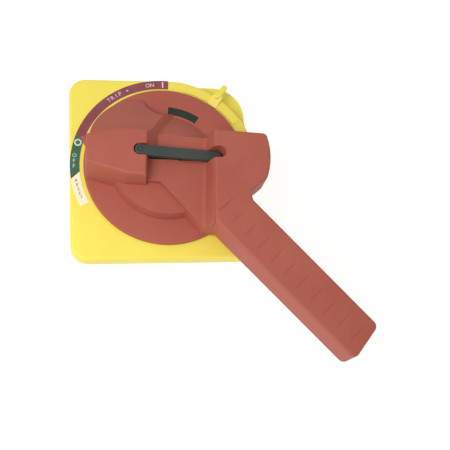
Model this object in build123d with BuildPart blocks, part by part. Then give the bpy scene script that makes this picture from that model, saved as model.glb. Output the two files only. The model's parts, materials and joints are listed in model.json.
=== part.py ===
from build123d import *
import os
from math import atan2, cos, degrees, pi, radians, sin, tan

# Door-mounted rotary operating handle of an isolator switch.
# Millimetres. +X right, +Z up, the front faces -Y. The origin is on the
# turning axis, in the plane of the door: the plate's rear face is y = 0.
# A height is measured forward from the plate's front face.

# ---- driving dimensions -------------------------------------------------
plate_depth = 9.5
plate_left = -50.0
plate_right = 46.0
plate_half_height = 50.0
plate_corner_r = 9.0
plate_ramp_corner_r = 17.0
plate_edge_r = 1.4
plate_wall = 3.0
plate_rim_width = 5.0
boss_r = 25.0
ramp_angle = 50.0
ramp_start = 40.0
ramp_slope = 31.0
ramp_floor = -7.6
ramp_core = 34.0
ring_r = 50.3

label_inner_r = 45.0
label_outer_r = 49.9
label_thickness = 0.2
# start and end angles, each as (on the inner edge, on the outer edge)
label_angles = {
    "label_on_trip": ((86.0, 86.0), (160.0, 160.0)),
    "label_off": ((160.0, 160.0), (183.8, 188.2)),
    "label_reset": ((183.8, 188.2), (206.0, 206.0)),
}

gasket_inset = 1.2
gasket_width = 2.0
gasket_thickness = 1.5

handle_turn = 4.1
disc_r = 43.0
disc_gap = 0.5
disc_top = 3.0
nose_angle = 164.8
nose_r = 46.8
step_r = 29.0
step_flare = 1.3
step_top = 10.0
neck_top = 13.5
neck_head = 12.0
cone_r = 27.5
cone_top_r = 13.0
block_top = 23.0
block_edge_r = 1.3
lever_base = 7.0
wall_draft = 5.0
lever_draft = 2.0
shell_wall = 2.6
gap_left = -12.0
gap_right = 21.8
gap_left_foot = 2.0
gap_right_foot = 2.7
gap_foot_r = 2.2
gap_left_low = -12.4
gap_left_high = 9.2
gap_right_low = -35.9
lever_angle = -44.0
lever_high_v = 12.6
lever_low_v = -9.4
lever_tip_u = 134.6
lever_tip_skew = 1.4
slope_head = 20.5
slope_foot = 36.0
slope_end = 3.0
scoop_r = 12.5
scoop_top_r = 20.0
scoop_spot = (-2.2, 41.2)

ridge_count = 11
ridge_pitch = 9.0
ridge_depth = 0.5
ridge_pad_drop = 0.12
ridge_groove_half = 0.8
ridge_first_u = 38.5
ridge_middle_v = 0.6
ridge_crown_r = 44.0

pocket_r = 23.6
pocket_top = 6.8
pocket_upper_r = 19.6
post_r = 3.4
post_circle_r = 14.0
cover_thickness = 2.0
cover_post_u = (62.0, 95.0, 126.0)
cover_post_v = 1.6
cover_start_u = 48.0

window_inner_r = 28.6
window_outer_r = 33.1
window_start = 59.5
window_end = 90.0
window_depth = 0.8
window_thickness = 1.4

bar_pivot = (-15.7, -0.4)
bar_pivot_height = 21.0
bar_turn = 1.5
bar_dip = 9.0
bar_slot_start = 20.0
bar_width = 5.4
bar_length = 43.0
bar_above = 1.8
bar_below = 0.8
web_thickness = 2.2
web_depth = 11.6
web_length = 36.0
padlock_hole_r = 3.75
padlock_hole_v = -6.2
padlock_holes_u = (12.5, 21.5, 30.5)
tail_length = 15.5
tail_high_v = -4.6
tail_low_v = -8.0
slot_floor = 12.6
slot_clear = 0.45
pin_r = 1.0
pin_length = 13.0

bolt_offset = -13.0
bolt_r = 2.5
bolt_rest = 3.0
bolt_top = 14.1
bolt_head_r = 3.4
bolt_head_thickness = 1.5
guide_r = 4.5
guide_base = 0.8
guide_top = 7.6
keeper_r = 3.0
keeper_depth = 1.9
keeper_turns = (-28.0, 0.0, 76.0)

hub_r = 11.0
hub_end = 30.0
hub_flange_r = 23.0
hub_flange_base = 0.6
shaft_square = 8.1
shaft_socket_depth = 24.0
shaft_screw_y = 25.0
shaft_screw_r = 2.0
circlip_groove_r = 10.2
circlip_r = 13.2
circlip_thickness = 1.0
washer_thickness = 1.0
seal_y = -5.5
seal_section_r = 0.72
housing_r = 14.0
housing_end = 17.0
housing_front = -8.5
housing_flange_depth = 3.2
housing_screw_circle_r = 18.5
run_clear = 0.05
slip_clear = 0.3

insert_half = 30.0
insert_r = 3.2
insert_bore_r = 1.65
insert_length = 5.0
screw_r = 1.25
screw_head_r = 2.6
screw_head_thickness = 1.3
screw_length = 7.5

release_start = 33.0
release_end = 75.0
release_inner_r = 45.0
release_outer_r = 49.4
release_rise = 0.15
release_top = 0.6
stem_start = 39.0
stem_end = 68.0
stem_travel = 5.5
stem_inner_r = 45.7
stem_outer_r = 48.6
release_depth = 3.0
release_spring_end = 77.8
release_spring_roof = 0.9
fin_angle = 53.0
fin_width = 3.0
fin_reach = 57.5
fin_root_r = 48.0
fin_top = 4.4
fin_foot_r = 44.2
fin_foot_width = 5.0

detent_circle_r = 19.5
detent_angle = 270.0
detent_track_half = 2.3
detent_track_depth = 0.9
ball_r = 2.0
ball_height = -0.6
detent_bore_depth = 5.8


# ---- helpers ------------------------------------------------------------
def face(height):
    """Plane parallel to the door at a height over the plate's front; local y is up."""
    return Plane(origin=(0, -plate_depth - height, 0), x_dir=(1, 0, 0), z_dir=(0, -1, 0))


def grip(height):
    """The same plane turned with the handle, so local x runs along the blocks."""
    turn = radians(handle_turn)
    return Plane(origin=(0, -plate_depth - height, 0), x_dir=(cos(turn), 0, -sin(turn)),
                 z_dir=(0, -1, 0))


def across(reach):
    """Plane across the handle at a reach above its axis; local x as in grip, y is height."""
    return Plane(origin=grip(0).from_local_coords(Vector(0, reach, 0)), x_dir=grip(0).x_dir,
                 z_dir=-grip(0).y_dir)


def depth(y):
    """Plane parallel to the door at a depth behind it, facing backwards; local y is up."""
    return Plane(origin=(0, y, 0), x_dir=(-1, 0, 0), z_dir=(0, 1, 0))


def section(angle):
    """Plane through the turning axis; local x is outward at angle, local y is height."""
    out = radians(angle)
    return Plane(origin=(0, -plate_depth, 0), x_dir=(cos(out), 0, sin(out)),
                 z_dir=(sin(out), 0, -cos(out)))


pivot_point = grip(bar_pivot_height).from_local_coords(Vector(bar_pivot[0], bar_pivot[1], 0))
bar_x = Vector(cos(radians(bar_turn)), 0, -sin(radians(bar_turn)))
front = Vector(0, -1, 0)


def bar_plan(height):
    """Plane parallel to the door with its origin over the bar's pivot, x along the bar."""
    origin = Vector(pivot_point.X, -plate_depth - height, pivot_point.Z)
    return Plane(origin=origin, x_dir=bar_x, z_dir=front)


def bar_tilted(rise):
    """Plane of the bar as it rests, dipping into its slot, at a rise over its pivot."""
    dip = radians(bar_dip)
    along = bar_x * cos(dip) - front * sin(dip)
    normal = front * cos(dip) + bar_x * sin(dip)
    return Plane(origin=pivot_point + normal * rise, x_dir=along, z_dir=normal)


def bar_side():
    """Plane of the bar's web: local x along the bar, local y away from the door."""
    flat = bar_tilted(0)
    return Plane(origin=pivot_point, x_dir=flat.x_dir, z_dir=flat.x_dir.cross(flat.z_dir))


def polar(radius, angle):
    """Point at a radius and an angle about the turning axis."""
    return (radius * cos(radians(angle)), radius * sin(radians(angle)))


def lever_point(u, v):
    """Point at u along the lever and v across it, in the handle's plane."""
    turn = radians(lever_angle)
    return (u * cos(turn) - v * sin(turn), u * sin(turn) + v * cos(turn))


def skewed_sector(inner, outer, start, end):
    """Sketch of a ring sector whose ends slant: start and end are (inner, outer) angles."""
    middle = (start[0] + end[0]) / 2
    with BuildSketch() as sector:
        with BuildLine():
            ThreePointArc(polar(inner, start[0]), polar(inner, middle), polar(inner, end[0]))
            Line(polar(inner, end[0]), polar(outer, end[1]))
            ThreePointArc(polar(outer, end[1]), polar(outer, middle), polar(outer, start[1]))
            Line(polar(outer, start[1]), polar(inner, start[0]))
        make_face()
    return sector.sketch


def ring_sector(inner, outer, start, end):
    """Sketch of a ring sector about the turning axis."""
    return skewed_sector(inner, outer, (start, start), (end, end))


def plate_outline(inset):
    """Sketch of the plate's outline, drawn in from its edge by inset."""
    width = plate_right - plate_left - 2 * inset
    height = 2 * (plate_half_height - inset)
    with BuildSketch() as outline:
        with Locations(((plate_left + plate_right) / 2, 0)):
            Rectangle(width, height)
        ramp_corner = outline.vertices().sort_by(Axis.X)[-2:].sort_by(Axis.Y)[-1]
        others = outline.vertices() - ShapeList([ramp_corner])
        fillet(others, plate_corner_r - inset)
        ramp_corner = outline.vertices().sort_by(Axis((0, 0, 0), (1, 1, 0)))[-1]
        fillet(ramp_corner, plate_ramp_corner_r - inset)
    return outline.sketch


def grip_outline(inset):
    """Sketch of the right block and the lever at the top face, drawn in by inset."""
    with BuildSketch() as outline:
        with BuildLine():
            Polyline((gap_right, 13.6), (49.0, 13.6))
            ThreePointArc((49.0, 13.6), (51.2, 3.0), (49.4, -10.8))
            Polyline((49.4, -10.8), (40.6, -18.8), lever_point(46.5, lever_high_v),
                     lever_point(lever_tip_u - lever_tip_skew, lever_high_v - 0.4),
                     lever_point(lever_tip_u + lever_tip_skew, lever_low_v + 0.4),
                     lever_point(41.0, lever_low_v), (gap_right, 13.6))
        make_face()
        tip = outline.vertices().sort_by(Axis((0, 0, 0), (1, -1, 0)))[-2:]
        fillet(tip, 3.2)
        shoulder = outline.vertices().sort_by(Axis.X)
        fillet(shoulder.filter_by(lambda v: 40 < v.X < 50 and v.Y > -20), 2.4)
        if inset > 0:
            offset(amount=-inset, mode=Mode.REPLACE)
    return outline.sketch


def lever_inside(inset):
    """Sketch of the hollow under the lever, drawn in by inset from its sides."""
    far = lever_tip_u - lever_tip_skew - inset
    with BuildSketch() as outline:
        with BuildLine():
            Polyline(lever_point(cover_start_u, lever_high_v - inset),
                     lever_point(far, lever_high_v - 0.4 - inset),
                     lever_point(far + lever_tip_skew, lever_low_v + 0.4 + inset),
                     lever_point(cover_start_u, lever_low_v + inset), close=True)
        make_face()
        fillet(outline.vertices(), 1.5)
    return outline.sketch


def left_block_outline():
    """Sketch of the left block's top face, which runs out past the disc's rim."""
    with BuildSketch() as outline:
        with BuildLine():
            ThreePointArc((-45.0, 4.2), (-30.0, 9.7), (gap_left, 10.6))
            Polyline((gap_left, 10.6), (gap_left, -13.8), (-21.0, -13.8), (-45.0, -8.2),
                     (-45.0, 4.2))
        make_face()
    return outline.sketch


def gap_wall(side, foot, low, high):
    """Solid that leans one wall of the padlock gap and rounds its foot.

    side is where the wall meets the top face, foot how far it leans out over the gap's floor,
    and low and high are where it starts and ends along the wall.
    """
    into = foot / abs(foot)
    wall_top = block_top - block_edge_r
    lean = atan2(abs(foot), wall_top - neck_top)
    setback = gap_foot_r * tan((pi / 2 - lean) / 2)
    knee = (side + foot - into * setback * sin(lean), neck_top + setback * cos(lean))
    toe = (side + foot + into * setback, neck_top)
    centre = (toe[0], neck_top + gap_foot_r)
    half = (pi / 2 - lean) / 2
    sag = (centre[0] - into * gap_foot_r * sin(half), centre[1] - gap_foot_r * cos(half))
    with BuildPart() as wall:
        with BuildSketch(across(high)):
            with BuildLine():
                Polyline((toe[0], neck_top - 1), (side - into, neck_top - 1),
                         (side - into, wall_top), (side, wall_top), knee)
                ThreePointArc(knee, sag, toe)
                Line(toe, (toe[0], neck_top - 1))
            make_face()
        extrude(amount=high - low)
    return wall.part


def finish(part, name):
    """Label a finished piece and write it to its own file."""
    part.label = name
    export_step(part, f"parts/{name}.step")


os.makedirs("parts", exist_ok=True)
bolt_spot = (bolt_offset, 0.0)
bolt_centre = bar_plan(0).from_local_coords(Vector(bolt_offset, 0, 0))
bolt_circle_r = Vector(bolt_centre.X, 0, bolt_centre.Z).length
bolt_angle = degrees(atan2(bolt_centre.Z, bolt_centre.X))

# ---- front plate: hollow moulding with a falling corner ------------------
ramp_run = -ramp_floor / tan(radians(ramp_slope))
with BuildPart() as ramp_cut:
    with BuildSketch(section(ramp_angle)):
        with BuildLine():
            Polyline((ramp_start, 0), (ramp_start + ramp_run, ramp_floor), (90, ramp_floor),
                     (90, 2), (ramp_start, 2), close=True)
        make_face()
    extrude(amount=90, both=True)
    with BuildSketch(face(-plate_depth)):
        Circle(ring_r)
    extrude(amount=2 * plate_depth, mode=Mode.SUBTRACT)

with BuildPart() as front_plate:
    with BuildSketch(face(-plate_depth)):
        add(plate_outline(0))
    extrude(amount=plate_depth)
    fillet(front_plate.faces().sort_by(Axis.Y)[0].edges(), plate_edge_r)
    add(ramp_cut.part, mode=Mode.SUBTRACT)
    with BuildSketch(face(-plate_depth)):
        add(plate_outline(plate_rim_width))
        Circle(boss_r, mode=Mode.SUBTRACT)
        with GridLocations(2 * insert_half, 2 * insert_half, 2, 2):
            Circle(insert_r + plate_wall, mode=Mode.SUBTRACT)
        with Locations(polar(ramp_core + 60, ramp_angle)):
            Rectangle(120, 200, rotation=ramp_angle, mode=Mode.SUBTRACT)
    extrude(amount=plate_depth - plate_wall, mode=Mode.SUBTRACT)
    # bore for the housing, with a step for its flange
    with BuildSketch(face(-plate_depth)):
        Circle(housing_r + run_clear)
    extrude(amount=plate_depth, mode=Mode.SUBTRACT)
    with BuildSketch(face(-plate_depth)):
        Circle(housing_screw_circle_r + 4)
    extrude(amount=housing_flange_depth + run_clear, mode=Mode.SUBTRACT)
    with BuildSketch(face(-plate_depth)):
        with PolarLocations(housing_screw_circle_r, 3, 90):
            Circle(screw_r)
    extrude(amount=screw_length + 0.4, mode=Mode.SUBTRACT)
    # holes for the inserts and the gasket's groove
    with BuildSketch(face(-plate_depth)):
        with GridLocations(2 * insert_half, 2 * insert_half, 2, 2):
            Circle(insert_r)
    extrude(amount=insert_length, mode=Mode.SUBTRACT)
    with BuildSketch(face(-plate_depth)):
        add(plate_outline(gasket_inset))
        add(plate_outline(gasket_inset + gasket_width), mode=Mode.SUBTRACT)
    extrude(amount=gasket_thickness, mode=Mode.SUBTRACT)
    # groove that the release lever's stem slides in, hidden under its cap
    with BuildSketch(face(-release_depth - slip_clear)):
        add(ring_sector(stem_inner_r - slip_clear, stem_outer_r + slip_clear,
                        stem_start - stem_travel, stem_end + slip_clear))
    extrude(amount=2 * release_depth, mode=Mode.SUBTRACT)
    # pocket of its spring, under a thin roof
    with BuildSketch(face(-release_depth - slip_clear)):
        add(ring_sector(stem_inner_r, stem_outer_r, stem_end, release_spring_end))
    extrude(amount=release_depth + slip_clear - release_spring_roof, mode=Mode.SUBTRACT)
    # bore of the detent, and the keeper holes of the locking bolt: RESET, OFF and ON
    with BuildSketch(face(0)):
        with Locations(polar(detent_circle_r, detent_angle)):
            Circle(ball_r + run_clear)
    extrude(amount=-detent_bore_depth, mode=Mode.SUBTRACT)
    with BuildSketch(face(-keeper_depth)):
        with Locations(*[polar(bolt_circle_r, bolt_angle - turned) for turned in keeper_turns]):
            Circle(keeper_r)
    extrude(amount=plate_wall, mode=Mode.SUBTRACT)
finish(front_plate.part, "front_plate")

# ---- position labels ------------------------------------------------------
for label_name, (label_start, label_end) in label_angles.items():
    with BuildPart() as position_label:
        with BuildSketch(face(0)):
            add(skewed_sector(label_inner_r, label_outer_r, label_start, label_end))
        extrude(amount=label_thickness)
    finish(position_label.part, label_name)

# ---- door gasket and inserts ---------------------------------------------
with BuildPart() as door_gasket:
    with BuildSketch(face(-plate_depth)):
        add(plate_outline(gasket_inset))
        add(plate_outline(gasket_inset + gasket_width), mode=Mode.SUBTRACT)
    extrude(amount=gasket_thickness)
finish(door_gasket.part, "door_gasket")

with BuildPart() as plate_inserts:
    with BuildSketch(face(-plate_depth)):
        with GridLocations(2 * insert_half, 2 * insert_half, 2, 2):
            Circle(insert_r)
            Circle(insert_bore_r, mode=Mode.SUBTRACT)
    extrude(amount=insert_length)
finish(plate_inserts.part, "plate_inserts")

# ---- bearing housing and its screws ----------------------------------------
with BuildPart() as bearing_housing:
    with BuildSketch(depth(housing_front)):
        Circle(housing_r)
    extrude(amount=housing_end - housing_front)
    with BuildSketch(depth(-housing_flange_depth)):
        Circle(housing_screw_circle_r + 4 - run_clear)
    extrude(amount=housing_flange_depth)
    with BuildSketch(depth(housing_front)):
        Circle(hub_r + run_clear)
    extrude(amount=housing_end - housing_front, mode=Mode.SUBTRACT)
    with BuildSketch(face(-plate_depth)):
        with PolarLocations(housing_screw_circle_r, 3, 90):
            Circle(screw_r + 0.2)
    extrude(amount=housing_flange_depth, mode=Mode.SUBTRACT)
    with BuildSketch(face(-plate_depth)):
        with PolarLocations(housing_screw_circle_r, 3, 90):
            Circle(screw_head_r + 0.1)
    extrude(amount=screw_head_thickness + 0.1, mode=Mode.SUBTRACT)
finish(bearing_housing.part, "bearing_housing")

with BuildPart() as housing_screws:
    with BuildSketch(face(-plate_depth + 0.1)):
        with PolarLocations(housing_screw_circle_r, 3, 90):
            Circle(screw_head_r)
    extrude(amount=screw_head_thickness)
    with BuildSketch(face(-plate_depth + 0.1)):
        with PolarLocations(housing_screw_circle_r, 3, 90):
            Circle(screw_r - 0.05)
    extrude(amount=screw_length)
finish(housing_screws.part, "housing_screws")

# ---- release lever and its spring ------------------------------------------
with BuildPart() as release_lever:
    with BuildSketch(face(release_rise)):
        with Locations(polar((fin_root_r + fin_reach) / 2, fin_angle)):
            SlotOverall(fin_reach - fin_root_r, fin_width, rotation=fin_angle)
    extrude(amount=fin_top - release_rise)
    fillet(release_lever.faces().sort_by(Axis.Y)[0].edges(), 0.6)
    with BuildSketch(face(release_rise)):
        add(ring_sector(release_inner_r, release_outer_r, release_start, release_end))
    extrude(amount=release_top - release_rise)
    with BuildSketch(section(fin_angle)):
        Polygon((fin_foot_r, release_rise), (release_outer_r, release_rise),
                (release_outer_r + fin_width / 2, fin_top - release_top),
                (release_outer_r, fin_top - release_top), (fin_foot_r, release_top), align=None)
    extrude(amount=fin_foot_width / 2, both=True)
    with BuildSketch(face(-release_depth)):
        add(ring_sector(stem_inner_r, stem_outer_r, stem_start, stem_end))
    extrude(amount=release_depth + release_top)
finish(release_lever.part, "release_lever")

spring_turns = 6
spring_wire_r = 0.22
spring_coil_r = 0.85
spring_r = (stem_inner_r + stem_outer_r) / 2
spring_angle = (stem_end + release_spring_end) / 2
spring_span = 2 * spring_r * sin(radians((release_spring_end - stem_end) / 2)) - 1.4
spring_height = -(release_spring_roof + release_depth + slip_clear) / 2
spring_base = face(spring_height).from_local_coords(Vector(*polar(spring_r, spring_angle), 0))
spring_axis = Vector(-sin(radians(spring_angle)), 0, cos(radians(spring_angle)))
spring_foot = spring_base - spring_axis * (spring_span / 2)
with BuildPart() as release_spring:
    with BuildLine():
        spring_path = Helix(spring_span / spring_turns, spring_span, spring_coil_r,
                            center=spring_foot, direction=spring_axis)
    with BuildSketch(Plane(origin=spring_path @ 0, z_dir=spring_path % 0)):
        Circle(spring_wire_r)
    sweep(path=spring_path)
finish(release_spring.part, "release_spring")

# ---- hub, with its seal, washer and circlip --------------------------------
with BuildPart() as hub:
    with BuildSketch(face(hub_flange_base)):
        Circle(hub_flange_r)
    extrude(amount=disc_top - hub_flange_base)
    with BuildSketch(face(hub_flange_base)):
        Circle(hub_r)
    extrude(amount=-(plate_depth + hub_flange_base + hub_end))
    chamfer(hub.faces().sort_by(Axis.Y)[-1].edges(), 0.6)
    with BuildSketch(face(hub_flange_base)):
        Circle(detent_circle_r + detent_track_half)
        Circle(detent_circle_r - detent_track_half, mode=Mode.SUBTRACT)
    extrude(amount=detent_track_depth, mode=Mode.SUBTRACT)
    with BuildSketch(grip(hub_flange_base)):
        with PolarLocations(post_circle_r, 4, 45):
            Circle(screw_r + 0.1)
    extrude(amount=disc_top, mode=Mode.SUBTRACT)
    with BuildSketch(grip(hub_flange_base)):
        with PolarLocations(post_circle_r, 4, 45):
            Circle(screw_head_r + 0.1)
    extrude(amount=screw_head_thickness + 0.1, mode=Mode.SUBTRACT)
    with BuildSketch(depth(hub_end)):
        Rectangle(shaft_square, shaft_square)
    extrude(amount=-shaft_socket_depth, mode=Mode.SUBTRACT)
    with BuildSketch(Plane.XY.offset(hub_r)):
        with Locations((0, shaft_screw_y)):
            Circle(shaft_screw_r + run_clear)
    extrude(amount=-hub_r, mode=Mode.SUBTRACT)
    with BuildSketch(depth(seal_y - 0.9)):
        Circle(hub_r + 1)
        Circle(hub_r - 1.5, mode=Mode.SUBTRACT)
    extrude(amount=1.8, mode=Mode.SUBTRACT)
    with BuildSketch(depth(housing_end + washer_thickness + 0.1)):
        Circle(hub_r + 1)
        Circle(circlip_groove_r, mode=Mode.SUBTRACT)
    extrude(amount=circlip_thickness + 0.1, mode=Mode.SUBTRACT)
finish(hub.part, "hub")

with BuildPart() as hub_seal:
    with BuildSketch(Plane.XY):
        with Locations((hub_r - seal_section_r - 0.03, seal_y)):
            Circle(seal_section_r)
    revolve(axis=Axis.Y)
finish(hub_seal.part, "hub_seal")

with BuildPart() as thrust_washer:
    with BuildSketch(depth(housing_end + 0.05)):
        Circle(housing_r - 0.4)
        Circle(hub_r + 0.1, mode=Mode.SUBTRACT)
    extrude(amount=washer_thickness)
finish(thrust_washer.part, "thrust_washer")

with BuildPart() as circlip:
    with BuildSketch(depth(housing_end + washer_thickness + 0.15)):
        Circle(circlip_r)
        Circle(circlip_groove_r + 0.02, mode=Mode.SUBTRACT)
        with Locations((0, -circlip_r)):
            Rectangle(6, 8, mode=Mode.SUBTRACT)
    extrude(amount=circlip_thickness)
finish(circlip.part, "circlip")

with BuildPart() as shaft_screw:
    with BuildSketch(Plane.XY.offset(shaft_square / 2 + 0.2)):
        with Locations((0, shaft_screw_y)):
            Circle(shaft_screw_r)
    extrude(amount=hub_r - shaft_square / 2 - 0.6)
    with BuildSketch(Plane.XY.offset(hub_r - 0.4)):
        with Locations((0, shaft_screw_y)):
            RegularPolygon(1.1, 6)
    extrude(amount=-2.2, mode=Mode.SUBTRACT)
finish(shaft_screw.part, "shaft_screw")

# ---- detent -----------------------------------------------------------------
with BuildPart() as detent_ball:
    with Locations(face(ball_height).from_local_coords(
            Vector(*polar(detent_circle_r, detent_angle), 0))):
        Sphere(ball_r)
finish(detent_ball.part, "detent_ball")

detent_base = face(-detent_bore_depth + 0.3).from_local_coords(
    Vector(*polar(detent_circle_r, detent_angle), 0))
detent_span = detent_bore_depth + ball_height - ball_r - 0.6
with BuildPart() as detent_spring:
    with BuildLine():
        detent_path = Helix(detent_span / 3, detent_span, 1.5, center=detent_base, direction=front)
    with BuildSketch(Plane(origin=detent_path @ 0, z_dir=detent_path % 0)):
        Circle(0.25)
    sweep(path=detent_path)
finish(detent_spring.part, "detent_spring")

# ---- handle shell: disc, steps, blocks and lever in one moulding -------------
with BuildPart() as upper_slope:
    with BuildSketch(Plane(origin=grip(0).from_local_coords(Vector(-disc_r, 0, 0)),
                           x_dir=grip(0).y_dir, z_dir=grip(0).x_dir)):
        with BuildLine():
            Polyline((0, disc_top), (slope_foot, disc_top), (9, slope_head), (0, slope_head),
                     close=True)
        make_face()
    extrude(amount=disc_r + slope_end)
    with BuildSketch(across(disc_r)):
        with BuildLine():
            Polyline((slope_end, disc_top), (gap_left, slope_head), (gap_left, block_top),
                     (-gap_left, block_top), (-gap_left, disc_top), close=True)
        make_face()
    extrude(amount=disc_r, mode=Mode.SUBTRACT)
    scoop_foot = grip(disc_top).from_local_coords(Vector(*scoop_spot, 0))
    with Locations(Plane(origin=scoop_foot, z_dir=front)):
        Cone(scoop_r, scoop_top_r, neck_top, mode=Mode.SUBTRACT,
             align=(Align.CENTER, Align.CENTER, Align.MIN))
    with BuildSketch(grip(disc_top)):
        Circle(disc_r - 1.6)
    extrude(amount=block_top, mode=Mode.INTERSECT)

with BuildPart() as left_block:
    with BuildSketch(grip(block_top)):
        add(left_block_outline())
    extrude(amount=-(block_top - disc_top), taper=-wall_draft)
    with BuildSketch(grip(disc_top)):
        Circle(disc_r - 0.5)
    extrude(amount=block_top, mode=Mode.INTERSECT)

with BuildPart() as handle_shell:
    with BuildSketch(grip(disc_gap)):
        Circle(disc_r)
        with BuildLine():
            Polyline(polar(nose_r, nose_angle), polar(disc_r - 1, nose_angle + 7),
                     polar(disc_r - 1, nose_angle - 7), close=True)
        make_face()
    extrude(amount=disc_top - disc_gap)
    fillet(handle_shell.faces().sort_by(Axis.Y)[0].edges(), 0.7)
    with BuildSketch(grip(disc_top)):
        Circle(step_r + step_flare)
        with Locations((0, step_r)):
            Rectangle(3 * step_r, 2 * step_r, mode=Mode.SUBTRACT)
    extrude(amount=step_top - disc_top, taper=wall_draft * 2)
    with BuildSketch(grip(neck_top)):
        with BuildLine():
            Polyline((gap_left - 6, neck_head), (gap_right + 6, neck_head),
                     (gap_right + 6, -36), (18.8, -36), (-4.0, -13.2), (gap_left - 6, -13.2),
                     close=True)
        make_face()
    extrude(amount=-(neck_top - disc_top), taper=-wall_draft)
    with Locations(grip(disc_top)):
        Cone(cone_r, cone_top_r, neck_top - disc_top, arc_size=180,
             align=(Align.NONE, Align.NONE, Align.MIN))
    add(upper_slope.part)
    add(left_block.part)
    with BuildSketch(grip(block_top)):
        add(grip_outline(0))
    extrude(amount=-(block_top - lever_base), taper=-lever_draft)
    with BuildSketch(grip(disc_top)):
        add(grip_outline(0))
        Circle(disc_r - 0.6, mode=Mode.INTERSECT)
    extrude(amount=lever_base - disc_top)
    top_edges = handle_shell.edges().group_by(Axis.Y)[0]
    fillet(top_edges, block_edge_r)
    add(gap_wall(gap_left, gap_left_foot, gap_left_low, gap_left_high))
    add(gap_wall(gap_right, -gap_right_foot, gap_right_low, neck_head))

    # thumb pads: shallow crowned pads with a fine groove between them, fading sideways
    ridge_axis_rise = ridge_crown_r - ridge_depth
    turn = radians(lever_angle)
    along = grip(0).x_dir * cos(turn) + grip(0).y_dir * sin(turn)
    ridge_start = lever_point(ridge_first_u, ridge_middle_v)
    ridge_plane = Plane(origin=grip(block_top + ridge_axis_rise).from_local_coords(
        Vector(ridge_start[0], ridge_start[1], 0)), x_dir=along, z_dir=along.cross(front))
    groove_r = ridge_crown_r - ridge_depth + ridge_pad_drop
    pad_r = ridge_crown_r - ridge_depth
    ridge_back_r = ridge_crown_r - 5 * ridge_depth
    ridges_end = ridge_count * ridge_pitch
    with BuildSketch(ridge_plane):
        with BuildLine():
            for ridge in range(ridge_count):
                groove = ridge * ridge_pitch
                Line((groove, -ridge_crown_r), (groove + ridge_groove_half, -groove_r))
                ThreePointArc((groove + ridge_groove_half, -groove_r),
                              (groove + ridge_pitch / 2, -pad_r),
                              (groove + ridge_pitch - ridge_groove_half, -groove_r))
                Line((groove + ridge_pitch - ridge_groove_half, -groove_r),
                     (groove + ridge_pitch, -ridge_crown_r))
            Polyline((ridges_end, -ridge_crown_r), (ridges_end, -ridge_back_r),
                     (0, -ridge_back_r), (0, -ridge_crown_r))
        make_face()
    revolve(axis=Axis(ridge_plane.origin, along), mode=Mode.SUBTRACT)

    # round pocket for the hub's flange, with four screw posts
    with BuildSketch(grip(disc_gap)):
        Circle(pocket_r)
    extrude(amount=disc_top - disc_gap, mode=Mode.SUBTRACT)
    with BuildSketch(grip(disc_top)):
        Circle(pocket_upper_r)
        with PolarLocations(post_circle_r, 4, 45):
            Circle(post_r, mode=Mode.SUBTRACT)
    extrude(amount=pocket_top - disc_top, mode=Mode.SUBTRACT)
    with BuildSketch(grip(disc_top)):
        with PolarLocations(post_circle_r, 4, 45):
            Circle(screw_r)
    extrude(amount=screw_length - 1.5, mode=Mode.SUBTRACT)

    # pocket of the lever, with posts for the cover's screws, and of the right block
    with BuildSketch(grip(lever_base)):
        add(lever_inside(shell_wall))
        with Locations(*[lever_point(u, cover_post_v) for u in cover_post_u]):
            Circle(post_r, mode=Mode.SUBTRACT)
    extrude(amount=block_top - lever_base - shell_wall - 0.4, mode=Mode.SUBTRACT)
    with BuildSketch(grip(lever_base)):
        with Locations(*[lever_point(u, cover_post_v) for u in cover_post_u]):
            Circle(post_r)
    extrude(amount=cover_thickness, mode=Mode.SUBTRACT)
    with BuildSketch(grip(lever_base)):
        with Locations(*[lever_point(u, cover_post_v) for u in cover_post_u]):
            Circle(screw_r)
    extrude(amount=screw_length + 0.5, mode=Mode.SUBTRACT)
    with BuildSketch(grip(disc_gap)):
        add(grip_outline(shell_wall))
        Circle(disc_r - 2, mode=Mode.INTERSECT)
        Circle(pocket_r + 2, mode=Mode.SUBTRACT)
    extrude(amount=slot_floor - shell_wall - disc_gap, mode=Mode.SUBTRACT)

    # slots for the padlock bar, its web and tail, and the locking bolt
    bar_end = bar_length + slot_clear * 2
    bar_start = -bar_width / 2 - slot_clear
    with BuildSketch(bar_plan(slot_floor)):
        with Locations(((bar_slot_start + bar_end) / 2, 0)):
            SlotOverall(bar_end - bar_slot_start, bar_width + 2 * slot_clear)
    extrude(amount=block_top, mode=Mode.SUBTRACT)
    with BuildSketch(bar_plan(bar_pivot_height - 4.2)):
        with Locations(((bar_start + 15) / 2, 0)):
            SlotOverall(15 - bar_start, bar_width + 2 * slot_clear)
    extrude(amount=block_top, mode=Mode.SUBTRACT)
    with BuildSketch(bar_plan(0)):
        with Locations(((web_length + 1.5 - tail_length - 1.5) / 2, 0)):
            Rectangle(web_length + tail_length + 3, web_thickness + 1.0)
    extrude(amount=bar_pivot_height - 1.0, mode=Mode.SUBTRACT)
    with BuildSketch(bar_plan(0)):
        with Locations(bolt_spot):
            Circle(guide_r)
    extrude(amount=bar_pivot_height - 4.0, mode=Mode.SUBTRACT)
    with BuildSketch(bar_side()):
        Circle(pin_r)
    extrude(amount=pin_length / 2, both=True, mode=Mode.SUBTRACT)

    # opening of the window
    with BuildSketch(grip(0)):
        add(ring_sector(window_inner_r, window_outer_r, window_start, window_end))
    extrude(amount=block_top, mode=Mode.SUBTRACT)
finish(handle_shell.part, "handle_shell")

with BuildPart() as window_lens:
    with BuildSketch(grip(disc_top - window_depth)):
        add(ring_sector(window_inner_r + 0.05, window_outer_r - 0.05,
                        window_start + 0.1, window_end - 0.1))
    extrude(amount=-window_thickness)
finish(window_lens.part, "window_lens")

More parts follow.
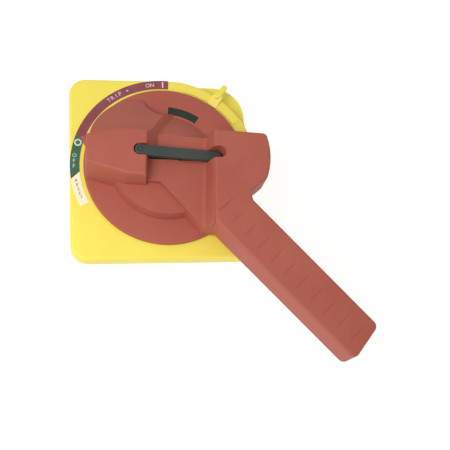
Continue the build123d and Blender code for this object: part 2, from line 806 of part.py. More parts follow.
with BuildPart() as hub_screws:
    with BuildSketch(grip(hub_flange_base + 0.1)):
        with PolarLocations(post_circle_r, 4, 45):
            Circle(screw_head_r)
    extrude(amount=screw_head_thickness)
    with BuildSketch(grip(hub_flange_base + 0.1)):
        with PolarLocations(post_circle_r, 4, 45):
            Circle(screw_r - 0.05)
    extrude(amount=screw_length)
finish(hub_screws.part, "hub_screws")

with BuildPart() as lever_cover:
    with BuildSketch(grip(lever_base)):
        add(lever_inside(shell_wall + 0.1))
        with Locations(*[lever_point(u, cover_post_v) for u in cover_post_u]):
            Circle(screw_r + 0.1, mode=Mode.SUBTRACT)
    extrude(amount=cover_thickness)
    with BuildSketch(grip(lever_base)):
        with Locations(*[lever_point(u, cover_post_v) for u in cover_post_u]):
            Circle(screw_head_r + 0.1)
    extrude(amount=screw_head_thickness + 0.1, mode=Mode.SUBTRACT)
finish(lever_cover.part, "lever_cover")

with BuildPart() as cover_screws:
    with BuildSketch(grip(lever_base + 0.1)):
        with Locations(*[lever_point(u, cover_post_v) for u in cover_post_u]):
            Circle(screw_head_r)
    extrude(amount=screw_head_thickness)
    with BuildSketch(grip(lever_base + 0.1)):
        with Locations(*[lever_point(u, cover_post_v) for u in cover_post_u]):
            Circle(screw_r - 0.05)
    extrude(amount=screw_length)
finish(cover_screws.part, "cover_screws")

# ---- padlock lever, its pin and the locking bolt ------------------------------
with BuildPart() as padlock_lever:
    with BuildSketch(bar_tilted(-bar_below)):
        with Locations(((bar_length - bar_width / 2) / 2, 0)):
            SlotOverall(bar_length + bar_width / 2, bar_width)
    extrude(amount=bar_above + bar_below)
    fillet(padlock_lever.edges().group_by(Axis(pivot_point, bar_tilted(0).z_dir))[-1], 0.5)
    with BuildSketch(bar_side()):
        with BuildLine():
            Polyline((2.6, 0), (web_length, 0), (web_length, 3 - web_depth),
                     (web_length - 3, -web_depth), (8, -web_depth), (2.6, tail_low_v),
                     (-tail_length, tail_low_v), (-tail_length, tail_high_v), (-1.5, tail_high_v),
                     (-2.2, 0), close=True)
        make_face()
        with Locations(*[(u, padlock_hole_v) for u in padlock_holes_u]):
            Circle(padlock_hole_r, mode=Mode.SUBTRACT)
    extrude(amount=web_thickness / 2, both=True)
    with BuildSketch(bar_side()):
        Circle(pin_r + run_clear)
    extrude(amount=bar_width, both=True, mode=Mode.SUBTRACT)
finish(padlock_lever.part, "padlock_lever")

with BuildPart() as lever_pin:
    with BuildSketch(bar_side()):
        Circle(pin_r - 0.005)
    extrude(amount=pin_length / 2, both=True)
finish(lever_pin.part, "lever_pin")

with BuildPart() as locking_bolt:
    with BuildSketch(bar_plan(bolt_rest)):
        with Locations(bolt_spot):
            Circle(bolt_r)
    extrude(amount=bolt_top - bolt_rest)
    with BuildSketch(bar_plan(bolt_top)):
        with Locations(bolt_spot):
            Circle(bolt_head_r)
    extrude(amount=-bolt_head_thickness)
    chamfer(locking_bolt.faces().sort_by(Axis.Y)[-1].edges(), 0.5)
finish(locking_bolt.part, "locking_bolt")

with BuildPart() as bolt_guide:
    with BuildSketch(bar_plan(guide_base)):
        with Locations(bolt_spot):
            Circle(guide_r - 0.02)
            Circle(bolt_r + run_clear, mode=Mode.SUBTRACT)
    extrude(amount=guide_top - guide_base)
finish(bolt_guide.part, "bolt_guide")

bolt_spring_span = bolt_top - bolt_head_thickness - guide_top - 0.8
bolt_spring_foot = bar_plan(guide_top + 0.4).from_local_coords(Vector(bolt_offset, 0, 0))
with BuildPart() as bolt_spring:
    with BuildLine():
        bolt_spring_path = Helix(bolt_spring_span / 3, bolt_spring_span, bolt_r + 0.6,
                                 center=bolt_spring_foot, direction=front)
    with BuildSketch(Plane(origin=bolt_spring_path @ 0, z_dir=bolt_spring_path % 0)):
        Circle(0.25)
    sweep(path=bolt_spring_path)
finish(bolt_spring.part, "bolt_spring")
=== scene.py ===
"""Looks for a door-mounted rotary isolator handle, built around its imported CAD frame.

Metres. +X right, +Y into the door, +Z up. The origin is on the handle's turning axis, in the
plane of the door. An angle is measured about that axis, anticlockwise from +X as seen from
the front, and a height is measured forward from the plate's front face.
"""

import json
import logging
import math
from dataclasses import dataclass
from enum import Enum
from typing import Any

import bmesh
import bpy
import numpy as np
from mathutils import Matrix, Vector

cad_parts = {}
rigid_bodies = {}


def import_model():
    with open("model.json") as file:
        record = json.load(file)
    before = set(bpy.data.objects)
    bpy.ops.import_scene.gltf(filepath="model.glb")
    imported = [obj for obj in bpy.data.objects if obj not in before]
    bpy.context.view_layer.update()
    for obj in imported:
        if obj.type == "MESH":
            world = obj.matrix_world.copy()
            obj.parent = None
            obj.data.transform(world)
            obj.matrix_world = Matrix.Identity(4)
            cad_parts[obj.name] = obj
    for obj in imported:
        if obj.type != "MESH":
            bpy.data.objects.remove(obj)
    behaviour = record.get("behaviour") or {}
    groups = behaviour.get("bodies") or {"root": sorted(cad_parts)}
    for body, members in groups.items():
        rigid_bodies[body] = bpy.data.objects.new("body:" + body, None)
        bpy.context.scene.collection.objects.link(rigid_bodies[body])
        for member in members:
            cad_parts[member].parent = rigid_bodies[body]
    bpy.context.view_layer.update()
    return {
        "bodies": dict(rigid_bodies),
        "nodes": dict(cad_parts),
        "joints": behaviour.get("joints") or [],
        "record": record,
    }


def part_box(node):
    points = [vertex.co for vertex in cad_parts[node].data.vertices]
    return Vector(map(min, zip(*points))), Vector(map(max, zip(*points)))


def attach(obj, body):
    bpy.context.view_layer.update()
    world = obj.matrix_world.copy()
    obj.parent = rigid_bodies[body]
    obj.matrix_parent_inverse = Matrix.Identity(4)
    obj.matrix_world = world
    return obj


MM = 0.001
CAPITAL_SHARE = 0.73  # height of a capital letter over the built-in typeface's size
RING_STEPS = 48
log = logging.getLogger("isolator_handle")


class Body(Enum):
    """The rigid bodies of the frame that the added pieces ride on."""

    BASE = "base"
    HANDLE = "handle"
    BAR = "padlock_bar"


# ---- small helpers ---------------------------------------------------------------
def linear(hex_colour: str) -> tuple[float, float, float, float]:
    """Turn an sRGB hex colour into linear RGBA.

    Args:
        hex_colour: six hex digits, with or without a leading hash.

    Returns:
        Linear red, green, blue and an alpha of 1.
    """
    digits = hex_colour.lstrip("#")
    srgb = np.array([int(digits[i:i + 2], 16) for i in (0, 2, 4)]) / 255.0
    low = srgb / 12.92
    high = ((srgb + 0.055) / 1.055) ** 2.4
    red, green, blue = np.where(srgb <= 0.04045, low, high)
    return float(red), float(green), float(blue), 1.0


def add_node(tree: bpy.types.NodeTree, kind: str, settings: dict[str, Any] | None = None,
             inputs: dict[Any, Any] | None = None, stops: dict[float, Any] | None = None
             ) -> bpy.types.Node:
    """Add one node with its settings, its input values and its incoming links.

    Args:
        tree: node tree that gets the node.
        kind: Blender's class name of the node.
        settings: attributes to set on the node.
        inputs: socket name or number to a plain value, or to an output socket to link from.
        stops: for a colour ramp, position to a linear RGBA colour or to a grey level.

    Returns:
        The new node.
    """
    node = tree.nodes.new(kind)
    for name, value in (settings or {}).items():
        setattr(node, name, value)
    for name, value in (inputs or {}).items():
        if isinstance(value, bpy.types.NodeSocket):
            tree.links.new(value, node.inputs[name])
        else:
            node.inputs[name].default_value = value
    if stops:
        elements = node.color_ramp.elements
        while len(elements) < len(stops):
            elements.new(0.5)
        for element, place in zip(elements, sorted(stops)):
            level = stops[place]
            element.position = place
            element.color = level if isinstance(level, tuple) else (level, level, level, 1.0)
    return node


def blank_material(name: str) -> tuple[bpy.types.Material, bpy.types.NodeTree,
                                       bpy.types.NodeSocket]:
    """Start a procedural material with an empty node tree.

    Args:
        name: material's name.

    Returns:
        The material, its tree, and the object coordinates that its patterns read.
    """
    material = bpy.data.materials.new(name)
    material.use_nodes = True
    tree = material.node_tree
    tree.nodes.clear()
    return material, tree, add_node(tree, "ShaderNodeTexCoord").outputs["Object"]


def polar(radius: float, angle: float, height: float) -> tuple[float, float, float]:
    """Point at a radius and an angle about the turning axis, at a height, all in mm and degrees.

    Args:
        radius: distance from the turning axis in mm.
        angle: degrees anticlockwise from +X.
        height: mm in front of the plate's front face.

    Returns:
        The point in metres, in the row frame.
    """
    turn = math.radians(angle)
    return (radius * math.cos(turn) * MM, front_y() - height * MM, radius * math.sin(turn) * MM)


def front_y() -> float:
    """Y of the plate's front face, read from the frame."""
    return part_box("front_plate")[0].y


def mesh_object(name: str, points: np.ndarray, faces: np.ndarray) -> bpy.types.Object:
    """Make an object from arrays of points and four-cornered faces.

    Args:
        name: object's name.
        points: N by 3 array in metres.
        faces: M by 4 array of point numbers.

    Returns:
        The object, linked to the scene.
    """
    mesh = bpy.data.meshes.new(name)
    mesh.from_pydata(points.tolist(), [], faces.tolist())
    mesh.update()
    piece = bpy.data.objects.new(name, mesh)
    bpy.context.scene.collection.objects.link(piece)
    return piece


def ring_strip(inner: float, outer: float, start: float, end: float, low: float, high: float,
               steps: int) -> tuple[np.ndarray, np.ndarray]:
    """A closed sector of a flat ring about the turning axis.

    The four corners of its section (inner or outer radius, low or high height) are carried
    round the axis at evenly spaced angles, and both ends are capped.

    Args:
        inner: inner radius in mm.
        outer: outer radius in mm.
        start: first angle in degrees.
        end: last angle in degrees.
        low: lower height in mm.
        high: upper height in mm.
        steps: number of stretches along the arc.

    Returns:
        Points in metres and faces.
    """
    turn = np.radians(np.linspace(start, end, steps + 1))[:, None]
    radii = np.array([inner, outer, outer, inner])[None, :]
    heights = np.array([high, high, low, low])[None, :]
    grid = np.stack([radii * np.cos(turn) * MM,
                     front_y() - heights * MM + 0 * turn,
                     radii * np.sin(turn) * MM], axis=-1)
    points = grid.reshape(-1, 3)
    across = np.arange(steps)[:, None] * 4
    side = np.arange(4)[None, :]
    following = (side + 1) % 4
    sides = np.stack([across + side, across + following, across + 4 + following,
                      across + 4 + side], axis=-1).reshape(-1, 4)
    last = steps * 4
    caps = np.array([[3, 2, 1, 0], [last, last + 1, last + 2, last + 3]])
    return points, np.vstack([sides, caps])


def flat_ring(inner: float, outer: float, low: float, high: float, centre: Vector,
              right: Vector, up: Vector) -> tuple[np.ndarray, np.ndarray]:
    """A closed flat ring that lies on any surface.

    A rectangle between the inner and outer radius is carried once round the centre, in the
    plane of right and up, and stands out from it along their cross product.

    Args:
        inner: inner radius in mm.
        outer: outer radius in mm.
        low: where its lower face is, in mm over the centre.
        high: where its upper face is, in mm over the centre.
        centre: point on the surface in metres.
        right: unit vector in the surface.
        up: unit vector in the surface, square to right.

    Returns:
        Points in metres and faces.
    """
    turn = np.linspace(0, 2 * np.pi, RING_STEPS, endpoint=False)[:, None, None]
    radii = np.array([inner, outer, outer, inner])[None, :, None] * MM
    rise = np.array([high, high, low, low])[None, :, None] * MM
    out = np.cos(turn) * np.array(right) + np.sin(turn) * np.array(up)
    grid = np.array(centre) + radii * out + rise * np.array(right.cross(up))
    here = np.arange(RING_STEPS)[:, None] * 4
    there = (here + 4) % (RING_STEPS * 4)
    side = np.arange(4)[None, :]
    following = (side + 1) % 4
    faces = np.stack([here + following, here + side, there + side, there + following], axis=-1)
    return grid.reshape(-1, 3), faces.reshape(-1, 4)


def set_material(piece: bpy.types.Object, material: bpy.types.Material) -> None:
    """Give a piece one material in all its slots."""
    piece.data.materials.clear()
    piece.data.materials.append(material)


def dress(frame: dict[str, Any], node: str, material: bpy.types.Material) -> None:
    """Give a CAD node its material and report it."""
    set_material(frame["nodes"][node], material)
    log.info("dressed %s in %s", node, material.name)


def letter_mesh(letter: str, capital: float, thickness: float) -> bpy.types.Mesh:
    """Outline of one letter in the built-in typeface as a thin closed solid.

    The letter is centred on its own middle, with x along the line of writing, y up and z
    towards the reader.

    Args:
        letter: one character.
        capital: height of a capital letter in mm.
        thickness: thickness of the ink in mm.

    Returns:
        The mesh, in metres.
    """
    curve = bpy.data.curves.new("letter", "FONT")
    curve.body = letter
    curve.size = capital * MM / CAPITAL_SHARE
    curve.extrude = thickness * MM / 2
    curve.resolution_u = 4
    writing = bpy.data.objects.new("letter", curve)
    bpy.context.scene.collection.objects.link(writing)
    bpy.context.view_layer.update()
    mesh = bpy.data.meshes.new_from_object(writing)
    bpy.data.objects.remove(writing)
    corners = np.array([vertex.co for vertex in mesh.vertices])
    middle = (corners.min(axis=0) + corners.max(axis=0)) / 2
    mesh.transform(Matrix.Translation(-Vector(middle)))
    return mesh


def printed_letters(name: str, letters: list[tuple[str, float, float, float]],
                    capital: float, height: float, thickness: float) -> bpy.types.Object:
    """Letters printed round the dial, joined into one piece.

    Each letter stands at its radius and angle. Its turn is how far its upright leans
    clockwise from +Z, so that a turn of 90 minus its angle points its top outwards.

    Args:
        name: piece's name.
        letters: character, radius in mm, angle and turn in degrees.
        capital: height of a capital letter in mm.
        height: height of the film's face over the plate in mm.
        thickness: thickness of the ink in mm.

    Returns:
        The piece.
    """
    facing = Matrix.Rotation(math.radians(90), 4, "X")
    solids = []
    for letter, radius, angle, turn in letters:
        mesh = letter_mesh(letter, capital, thickness)
        lean = Matrix.Rotation(math.radians(turn), 4, "Y")
        spot = Matrix.Translation(Vector(polar(radius, angle, height + thickness / 2)))
        mesh.transform(spot @ lean @ facing)
        solids.append(mesh)
    joined = bpy.data.meshes.new(name)
    pieces = bmesh.new()
    for mesh in solids:
        pieces.from_mesh(mesh)
        bpy.data.meshes.remove(mesh)
    bmesh.ops.remove_doubles(pieces, verts=pieces.verts, dist=0.0005 * MM)
    bmesh.ops.recalc_face_normals(pieces, faces=pieces.faces)
    pieces.to_mesh(joined)
    pieces.free()
    piece = bpy.data.objects.new(name, joined)
    bpy.context.scene.collection.objects.link(piece)
    return piece


# ---- finishes --------------------------------------------------------------------
@dataclass(frozen=True)
class MouldedPlastic:
    """A spark-eroded mould leaves moulded plastic with a fine, even, matt grain.

    The eye gets a soft broad highlight, slight blotches where the melt cooled unevenly, and
    edges that are a little paler where hands have rubbed the grain smooth.
    """

    name: str
    base: str
    shade: str
    worn: str
    roughness: float = 0.62
    grain_mm: float = 0.55
    grain_depth_mm: float = 0.035
    grain_strength: float = 0.45
    blotch_mm: float = 26.0
    blotch_stops: tuple[float, float] = (0.3, 0.7)
    sheen_spread: float = 0.05
    wear: float = 0.35
    wear_stops: tuple[float, float] = (0.80, 0.985)
    scuff_mm: float = 5.0
    edge_mm: float = 0.9
    ior: float = 1.46
    specular: float = 0.4
    subsurface: float = 0.0
    subsurface_mm: float = 2.0

    def material(self) -> bpy.types.Material:
        """Build the material's nodes.

        Returns:
            The material.
        """
        material, tree, place = blank_material(self.name)
        blotch = add_node(tree, "ShaderNodeTexNoise", inputs={
            "Vector": place, "Scale": 1 / (self.blotch_mm * MM), "Detail": 3.0,
            "Roughness": 0.55}).outputs["Fac"]
        low, high = self.blotch_stops
        colour = add_node(tree, "ShaderNodeValToRGB", inputs={"Fac": blotch}, stops={
            low: linear(self.shade), high: linear(self.base)}).outputs["Color"]
        bevel = add_node(tree, "ShaderNodeBevel", {"samples": 4},
                         {"Radius": self.edge_mm * MM}).outputs["Normal"]
        plain = add_node(tree, "ShaderNodeNewGeometry").outputs["Normal"]
        bend = add_node(tree, "ShaderNodeVectorMath", {"operation": "DOT_PRODUCT"},
                        {0: bevel, 1: plain}).outputs["Value"]
        scuff = add_node(tree, "ShaderNodeTexNoise", inputs={
            "Vector": place, "Scale": 1 / (self.scuff_mm * MM), "Detail": 4.0}).outputs["Fac"]
        sharp, even = self.wear_stops
        rubbed = add_node(tree, "ShaderNodeValToRGB", inputs={"Fac": bend}, stops={
            sharp: self.wear, even: 0.0}).outputs["Color"]
        patchy = add_node(tree, "ShaderNodeMath", {"operation": "MULTIPLY"},
                          {0: rubbed, 1: scuff}).outputs[0]
        mixed = add_node(tree, "ShaderNodeMix", {"data_type": "RGBA"},
                         {"Factor": patchy, 6: colour, 7: linear(self.worn)}).outputs[2]
        grain = add_node(tree, "ShaderNodeTexNoise", inputs={
            "Vector": place, "Scale": 1 / (self.grain_mm * MM), "Detail": 2.0,
            "Roughness": 0.5}).outputs["Fac"]
        bump = add_node(tree, "ShaderNodeBump", inputs={
            "Strength": self.grain_strength, "Distance": self.grain_depth_mm * MM,
            "Height": grain})
        rough = add_node(tree, "ShaderNodeMapRange", inputs={
            "Value": blotch, "From Min": 0.25, "From Max": 0.75,
            "To Min": self.roughness - self.sheen_spread,
            "To Max": self.roughness + self.sheen_spread}).outputs["Result"]
        shader = add_node(tree, "ShaderNodeBsdfPrincipled", inputs={
            "Base Color": mixed, "Roughness": rough, "Normal": bump.outputs["Normal"],
            "IOR": self.ior, "Specular IOR Level": self.specular,
            "Subsurface Weight": self.subsurface,
            "Subsurface Scale": self.subsurface_mm * MM})
        add_node(tree, "ShaderNodeOutputMaterial", inputs={"Surface": shader.outputs["BSDF"]})
        return material


@dataclass(frozen=True)
class PrintedFilm:
    """Screen-printed vinyl film: flat even ink with a faint screen mesh in its sheen."""

    name: str
    ink: str
    faded: str
    roughness: float = 0.5
    fade_mm: float = 7.0
    fade_stops: tuple[float, float] = (0.35, 0.65)
    mesh_mm: float = 0.35
    mesh_depth_mm: float = 0.01
    mesh_strength: float = 0.15
    ior: float = 1.5
    specular: float = 0.35

    def material(self) -> bpy.types.Material:
        """Build the material's nodes.

        Returns:
            The material.
        """
        material, tree, place = blank_material(self.name)
        fade = add_node(tree, "ShaderNodeTexNoise", inputs={
            "Vector": place, "Scale": 1 / (self.fade_mm * MM), "Detail": 3.0}).outputs["Fac"]
        low, high = self.fade_stops
        colour = add_node(tree, "ShaderNodeValToRGB", inputs={"Fac": fade}, stops={
            low: linear(self.faded), high: linear(self.ink)}).outputs["Color"]
        mesh = add_node(tree, "ShaderNodeTexVoronoi", inputs={
            "Vector": place, "Scale": 1 / (self.mesh_mm * MM)}).outputs["Distance"]
        bump = add_node(tree, "ShaderNodeBump", inputs={
            "Strength": self.mesh_strength, "Distance": self.mesh_depth_mm * MM,
            "Height": mesh})
        shader = add_node(tree, "ShaderNodeBsdfPrincipled", inputs={
            "Base Color": colour, "Roughness": self.roughness,
            "Normal": bump.outputs["Normal"], "IOR": self.ior,
            "Specular IOR Level": self.specular})
        add_node(tree, "ShaderNodeOutputMaterial", inputs={"Surface": shader.outputs["BSDF"]})
        return material


@dataclass(frozen=True)
class WorkedMetal:
    """Turned, drawn or die-cast metal: fine tool lines or a cast skin break up its shine."""

    name: str
    bright: str
    dull: str
    roughness: float = 0.35
    lines_mm: float = 0.4
    lines_depth_mm: float = 0.02
    lines_strength: float = 0.3
    stain_mm: float = 4.0
    stain_stops: tuple[float, float] = (0.35, 0.65)
    sheen_below: float = 0.08
    sheen_above: float = 0.1

    def material(self) -> bpy.types.Material:
        """Build the material's nodes.

        Returns:
            The material.
        """
        material, tree, place = blank_material(self.name)
        lines = add_node(tree, "ShaderNodeTexNoise", inputs={
            "Vector": place, "Scale": 1 / (self.lines_mm * MM), "Detail": 3.0}).outputs["Fac"]
        stain = add_node(tree, "ShaderNodeTexNoise", inputs={
            "Vector": place, "Scale": 1 / (self.stain_mm * MM), "Detail": 4.0}).outputs["Fac"]
        low, high = self.stain_stops
        colour = add_node(tree, "ShaderNodeValToRGB", inputs={"Fac": stain}, stops={
            low: linear(self.dull), high: linear(self.bright)}).outputs["Color"]
        rough = add_node(tree, "ShaderNodeMapRange", inputs={
            "Value": lines, "From Min": 0.3, "From Max": 0.7,
            "To Min": self.roughness - self.sheen_below,
            "To Max": self.roughness + self.sheen_above}).outputs["Result"]
        bump = add_node(tree, "ShaderNodeBump", inputs={
            "Strength": self.lines_strength, "Distance": self.lines_depth_mm * MM,
            "Height": lines})
        shader = add_node(tree, "ShaderNodeBsdfPrincipled", inputs={
            "Base Color": colour, "Roughness": rough, "Metallic": 1.0,
            "Normal": bump.outputs["Normal"]})
        add_node(tree, "ShaderNodeOutputMaterial", inputs={"Surface": shader.outputs["BSDF"]})
        return material


# ---- sub-assemblies --------------------------------------------------------------
@dataclass
class FrontPlate:
    """Yellow door plate with its rear fittings and printed position labels."""

    frame: dict[str, Any]
    film_top: float = 0.2
    ink: float = 0.03
    capital: float = 2.3
    off_share: float = 0.92
    reset_share: float = 0.72
    band_r: float = 47.5
    arc_words: tuple[tuple[str, float, float], ...] = (("ON", 98.1, 3.0), ("+", 113.6, 3.0),
                                                       ("TRIP", 123.2, 2.85))
    stacked_words: tuple[tuple[str, float, float, float], ...] = (
        ("OFF", 172.9, 3.5, 47.8), ("RESET", 189.6, 2.9, 47.3))
    stroke_angle: float = 89.6
    stroke_half: float = 1.65
    stroke_turn: float = 0.45
    ring_angle: float = 163.9
    ring_r: float = 2.0
    ring_width: float = 0.85

    def arc_letters(self, word: str, middle: float, pitch: float
                    ) -> list[tuple[str, float, float, float]]:
        """Places of a word's letters along the arc, read clockwise with their tops outwards.

        Args:
            word: the word.
            middle: angle of its middle in degrees.
            pitch: degrees from letter to letter.

        Returns:
            Character, radius, angle and turn of each letter.
        """
        first = middle + pitch * (len(word) - 1) / 2
        return [(letter, self.band_r, first - pitch * place, 90 - (first - pitch * place))
                for place, letter in enumerate(word)]

    def printing(self) -> None:
        """Print the marks of the switch's positions on the label films."""
        pale = PrintedFilm("ink_white", "#F3DCDD", "#E9D0D2").material()
        mint = PrintedFilm("ink_pale_green", "#DDEEDF", "#C8DDCB").material()
        dark = PrintedFilm("ink_dark", "#4A4A3C", "#5A5A4A").material()
        words = []
        for word, middle, pitch in self.arc_words:
            words += self.arc_letters(word, middle, pitch)
        off, reset = [[(letter, radius, first + pitch * place, 0.0)
                       for place, letter in enumerate(word)]
                      for word, first, pitch, radius in self.stacked_words]
        marks = (("print_on_trip", words, self.capital, pale),
                 ("print_off", off, self.capital * self.off_share, mint),
                 ("print_reset", reset, self.capital * self.reset_share, dark))
        for name, letters, capital, ink in marks:
            piece = printed_letters(name, letters, capital, self.film_top, self.ink)
            set_material(piece, ink)
            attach(piece, Body.BASE.value)
            log.info("printed %s", name)
        stroke = mesh_object("print_on_stroke", *ring_strip(
            self.band_r - self.stroke_half, self.band_r + self.stroke_half,
            self.stroke_angle - self.stroke_turn, self.stroke_angle + self.stroke_turn,
            self.film_top, self.film_top + self.ink, 1))
        ring = mesh_object("print_off_ring", *flat_ring(
            self.ring_r - self.ring_width, self.ring_r, 0.0, self.ink,
            Vector(polar(self.band_r, self.ring_angle, self.film_top)), Vector((1, 0, 0)),
            Vector((0, 0, 1))))
        for piece, ink in ((stroke, pale), (ring, mint)):
            set_material(piece, ink)
            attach(piece, Body.BASE.value)
            log.info("printed %s", piece.name)

    def dress(self) -> None:
        """Give the plate, its labels and its rear fittings their materials."""
        yellow = MouldedPlastic("plate_polycarbonate_yellow", "#FCEB62", "#F9E45C", "#FDF4B8",
                                roughness=0.5, wear=0.25, subsurface=0.08).material()
        rubber = MouldedPlastic("gasket_epdm_rubber", "#1B1B1B", "#121212", "#3A3A3A",
                                roughness=0.85, specular=0.3).material()
        black = MouldedPlastic("housing_glass_filled_nylon", "#1E1F20", "#161718", "#4A4A4A",
                               roughness=0.6).material()
        brass = WorkedMetal("insert_turned_brass", "#C9A65A", "#A98544",
                            roughness=0.3).material()
        zinc = WorkedMetal("screw_zinc_plated_steel", "#BFC2C4", "#9DA1A5",
                           roughness=0.33).material()
        spring = WorkedMetal("spring_drawn_steel", "#A2A4A6", "#7C7F82",
                             roughness=0.28).material()
        for node, material in (("front_plate", yellow), ("release_lever", yellow),
                               ("door_gasket", rubber), ("hub_seal", rubber),
                               ("bearing_housing", black), ("bolt_guide", black),
                               ("plate_inserts", brass), ("housing_screws", zinc),
                               ("hub_screws", zinc), ("cover_screws", zinc),
                               ("shaft_screw", zinc), ("thrust_washer", zinc),
                               ("lever_pin", zinc), ("locking_bolt", zinc),
                               ("detent_ball", zinc), ("circlip", spring),
                               ("bolt_spring", spring), ("detent_spring", spring),
                               ("release_spring", spring)):
            dress(self.frame, node, material)
        for node, name, ink, faded in (
                ("label_on_trip", "label_film_red", "#8C464E", "#94505A"),
                ("label_off", "label_film_green", "#3A6A50", "#446F57"),
                ("label_reset", "label_film_cream", "#FDFADC", "#F8F4D2")):
            dress(self.frame, node, PrintedFilm(name, ink, faded).material())


@dataclass
class Handle:
    """Red operating handle with its window and cover, and a darker disc painted as the shade of
    a small pit on the upper slope.
    """

    frame: dict[str, Any]
    pit_r: float = 0.65
    pit_bore: float = 0.02
    pit_low: float = -0.3
    pit_high: float = 0.05
    pit_spot: tuple[float, float, float] = (-36.6, 17.5, 15.6)
    slope_fall: float = 0.648

    def dress(self) -> None:
        """Give the handle's pieces their materials."""
        red = MouldedPlastic("handle_abs_red", "#B4604F", "#AC5848", "#C68270",
                             roughness=0.58).material()
        cover = MouldedPlastic("cover_abs_dark_red", "#9E4F3F", "#974A3A", "#B9685A",
                               roughness=0.66).material()
        hub = WorkedMetal("hub_die_cast_zinc", "#9C9FA1", "#85888B", roughness=0.45).material()
        window = MouldedPlastic("window_tinted_acrylic", "#2C3B30", "#263429", "#4A584E",
                                roughness=0.3, grain_depth_mm=0.008).material()
        for node, material in (("handle_shell", red), ("lever_cover", cover), ("hub", hub),
                               ("window_lens", window)):
            dress(self.frame, node, material)
        # The darker red disc made below is painted shade of a small pit on the upper slope.
        self.pit_shade_mark(MouldedPlastic("pit_shade_red", "#8A4638", "#7E3E32", "#8F4E40",
                                      roughness=0.7).material())

    def pit_shade_mark(self, pit_shade: bpy.types.Material) -> None:
        """Add a darker disc on the upper slope, painted as the shade of a small pit.

        Args:
            pit_shade: its material, a darker red painted as the pit's shade.
        """
        across, height, rise = self.pit_spot
        centre = Vector((across * MM, front_y() - height * MM, rise * MM))
        up = Vector((0, self.slope_fall, 1)).normalized()
        piece = mesh_object("pit_shade_mark", *flat_ring(
            self.pit_bore, self.pit_r, self.pit_low, self.pit_high, centre,
            Vector((1, 0, 0)), up))
        set_material(piece, pit_shade)
        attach(piece, Body.HANDLE.value)
        log.info("added %s", piece.name)


@dataclass
class PadlockBar:
    """Dark bar across the padlock gap, with a fine ring over its pivot painted darker as the
    shadow in its groove.
    """

    frame: dict[str, Any]
    pivot: tuple[float, float, float] = (-15.688, -30.5, 0.724)
    turn: float = 1.5
    dip: float = 9.0
    top: float = 1.8
    ring: tuple[float, float] = (1.2, 1.55)
    ring_low: float = -0.2
    ring_high: float = 0.06

    def dress(self) -> None:
        """Give the bar its material and its ring of painted groove shadow."""
        dark = MouldedPlastic("bar_polyamide_dark", "#464C47", "#3E4540", "#666C68",
                              roughness=0.5).material()
        # The ring's darker colour is painted shadow in the groove round the pivot.
        groove_shadow = MouldedPlastic("bar_ring_shadow", "#2C3230", "#262B29", "#3A403E",
                                roughness=0.6).material()
        dress(self.frame, "padlock_lever", dark)
        turn, dip = math.radians(self.turn), math.radians(self.dip)
        level = Vector((math.cos(turn), 0, -math.sin(turn)))
        front = Vector((0, -1, 0))
        along = level * math.cos(dip) - front * math.sin(dip)
        out = front * math.cos(dip) + level * math.sin(dip)
        centre = Vector(self.pivot) * MM + out * self.top * MM
        piece = mesh_object("bar_pivot_ring", *flat_ring(
            *self.ring, self.ring_low, self.ring_high, centre, along, out.cross(along)))
        set_material(piece, groove_shadow)
        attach(piece, Body.BAR.value)
        log.info("added %s", piece.name)


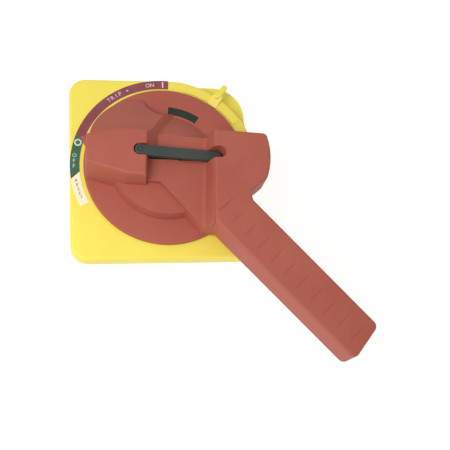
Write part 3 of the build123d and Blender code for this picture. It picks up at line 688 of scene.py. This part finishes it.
@dataclass
class Studio:
    """Camera, soft lights and a pale floor."""

    eye: tuple[float, float, float] = (-0.05193, -0.38762, -0.14581)
    right: tuple[float, float, float] = (0.98479, -0.16421, -0.05682)
    up: tuple[float, float, float] = (0.00702, -0.28913, 0.95726)
    back: tuple[float, float, float] = (-0.17362, -0.94310, -0.28358)
    lens: float = 61.72
    sensor: float = 36.0
    shift: tuple[float, float] = (0.0506, -0.0007)
    fill: float = 0.52
    floor_grey: str = "#898989"
    floor_glow: float = 0.84
    floor_roughness: float = 0.9
    floor_reach: float = 2.0
    floor_y: float = 0.0305
    lamps: tuple[tuple[str, tuple[float, float, float], float, float], ...] = (
        ("key", (-0.19, -0.38, -0.13), 0.25, 1.10),)

    def camera(self) -> None:
        """Make the camera and set it as the scene's."""
        data = bpy.data.cameras.new("camera")
        data.lens = self.lens
        data.sensor_width = self.sensor
        data.shift_x, data.shift_y = self.shift
        camera = bpy.data.objects.new("camera", data)
        bpy.context.scene.collection.objects.link(camera)
        turned = Matrix((self.right, self.up, self.back)).transposed()
        camera.matrix_world = Matrix.Translation(Vector(self.eye)) @ turned.to_4x4()
        bpy.context.scene.camera = camera

    def lights(self) -> None:
        """Make the soft lights and the world's even fill."""
        world = bpy.data.worlds.new("studio")
        bpy.context.scene.world = world
        world.use_nodes = True
        background = world.node_tree.nodes["Background"]
        background.inputs["Color"].default_value = linear("#FFFFFF")
        background.inputs["Strength"].default_value = self.fill
        bpy.context.scene.view_settings.view_transform = "Standard"
        for name, place, size, power in self.lamps:
            data = bpy.data.lights.new(name, "AREA")
            data.shape = "DISK"
            data.size = size
            data.energy = power
            light = bpy.data.objects.new(name, data)
            bpy.context.scene.collection.objects.link(light)
            light.location = place
            light.rotation_euler = Vector(place).to_track_quat("Z", "Y").to_euler()

    def floor(self) -> None:
        """Make the pale, softly back-lit surface behind the plate."""
        reach, level = self.floor_reach, self.floor_y
        corners = np.array([[-reach, level, -reach], [reach, level, -reach],
                            [reach, level, reach], [-reach, level, reach]])
        floor = mesh_object("floor", corners, np.array([[0, 1, 2, 3]]))
        material = bpy.data.materials.new("floor_paper")
        material.use_nodes = True
        shader = material.node_tree.nodes["Principled BSDF"]
        shader.inputs["Base Color"].default_value = linear(self.floor_grey)
        shader.inputs["Roughness"].default_value = self.floor_roughness
        shader.inputs["Emission Color"].default_value = linear("#FFFFFF")
        shader.inputs["Emission Strength"].default_value = self.floor_glow
        set_material(floor, material)


def main() -> None:
    """Build the scene in order."""
    logging.basicConfig(level=logging.INFO, format="%(name)s: %(message)s")
    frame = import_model()
    plate = FrontPlate(frame)
    plate.dress()
    plate.printing()
    Handle(frame).dress()
    PadlockBar(frame).dress()
    studio = Studio()
    studio.camera()
    studio.lights()
    studio.floor()


if __name__ == "__main__":
    main()
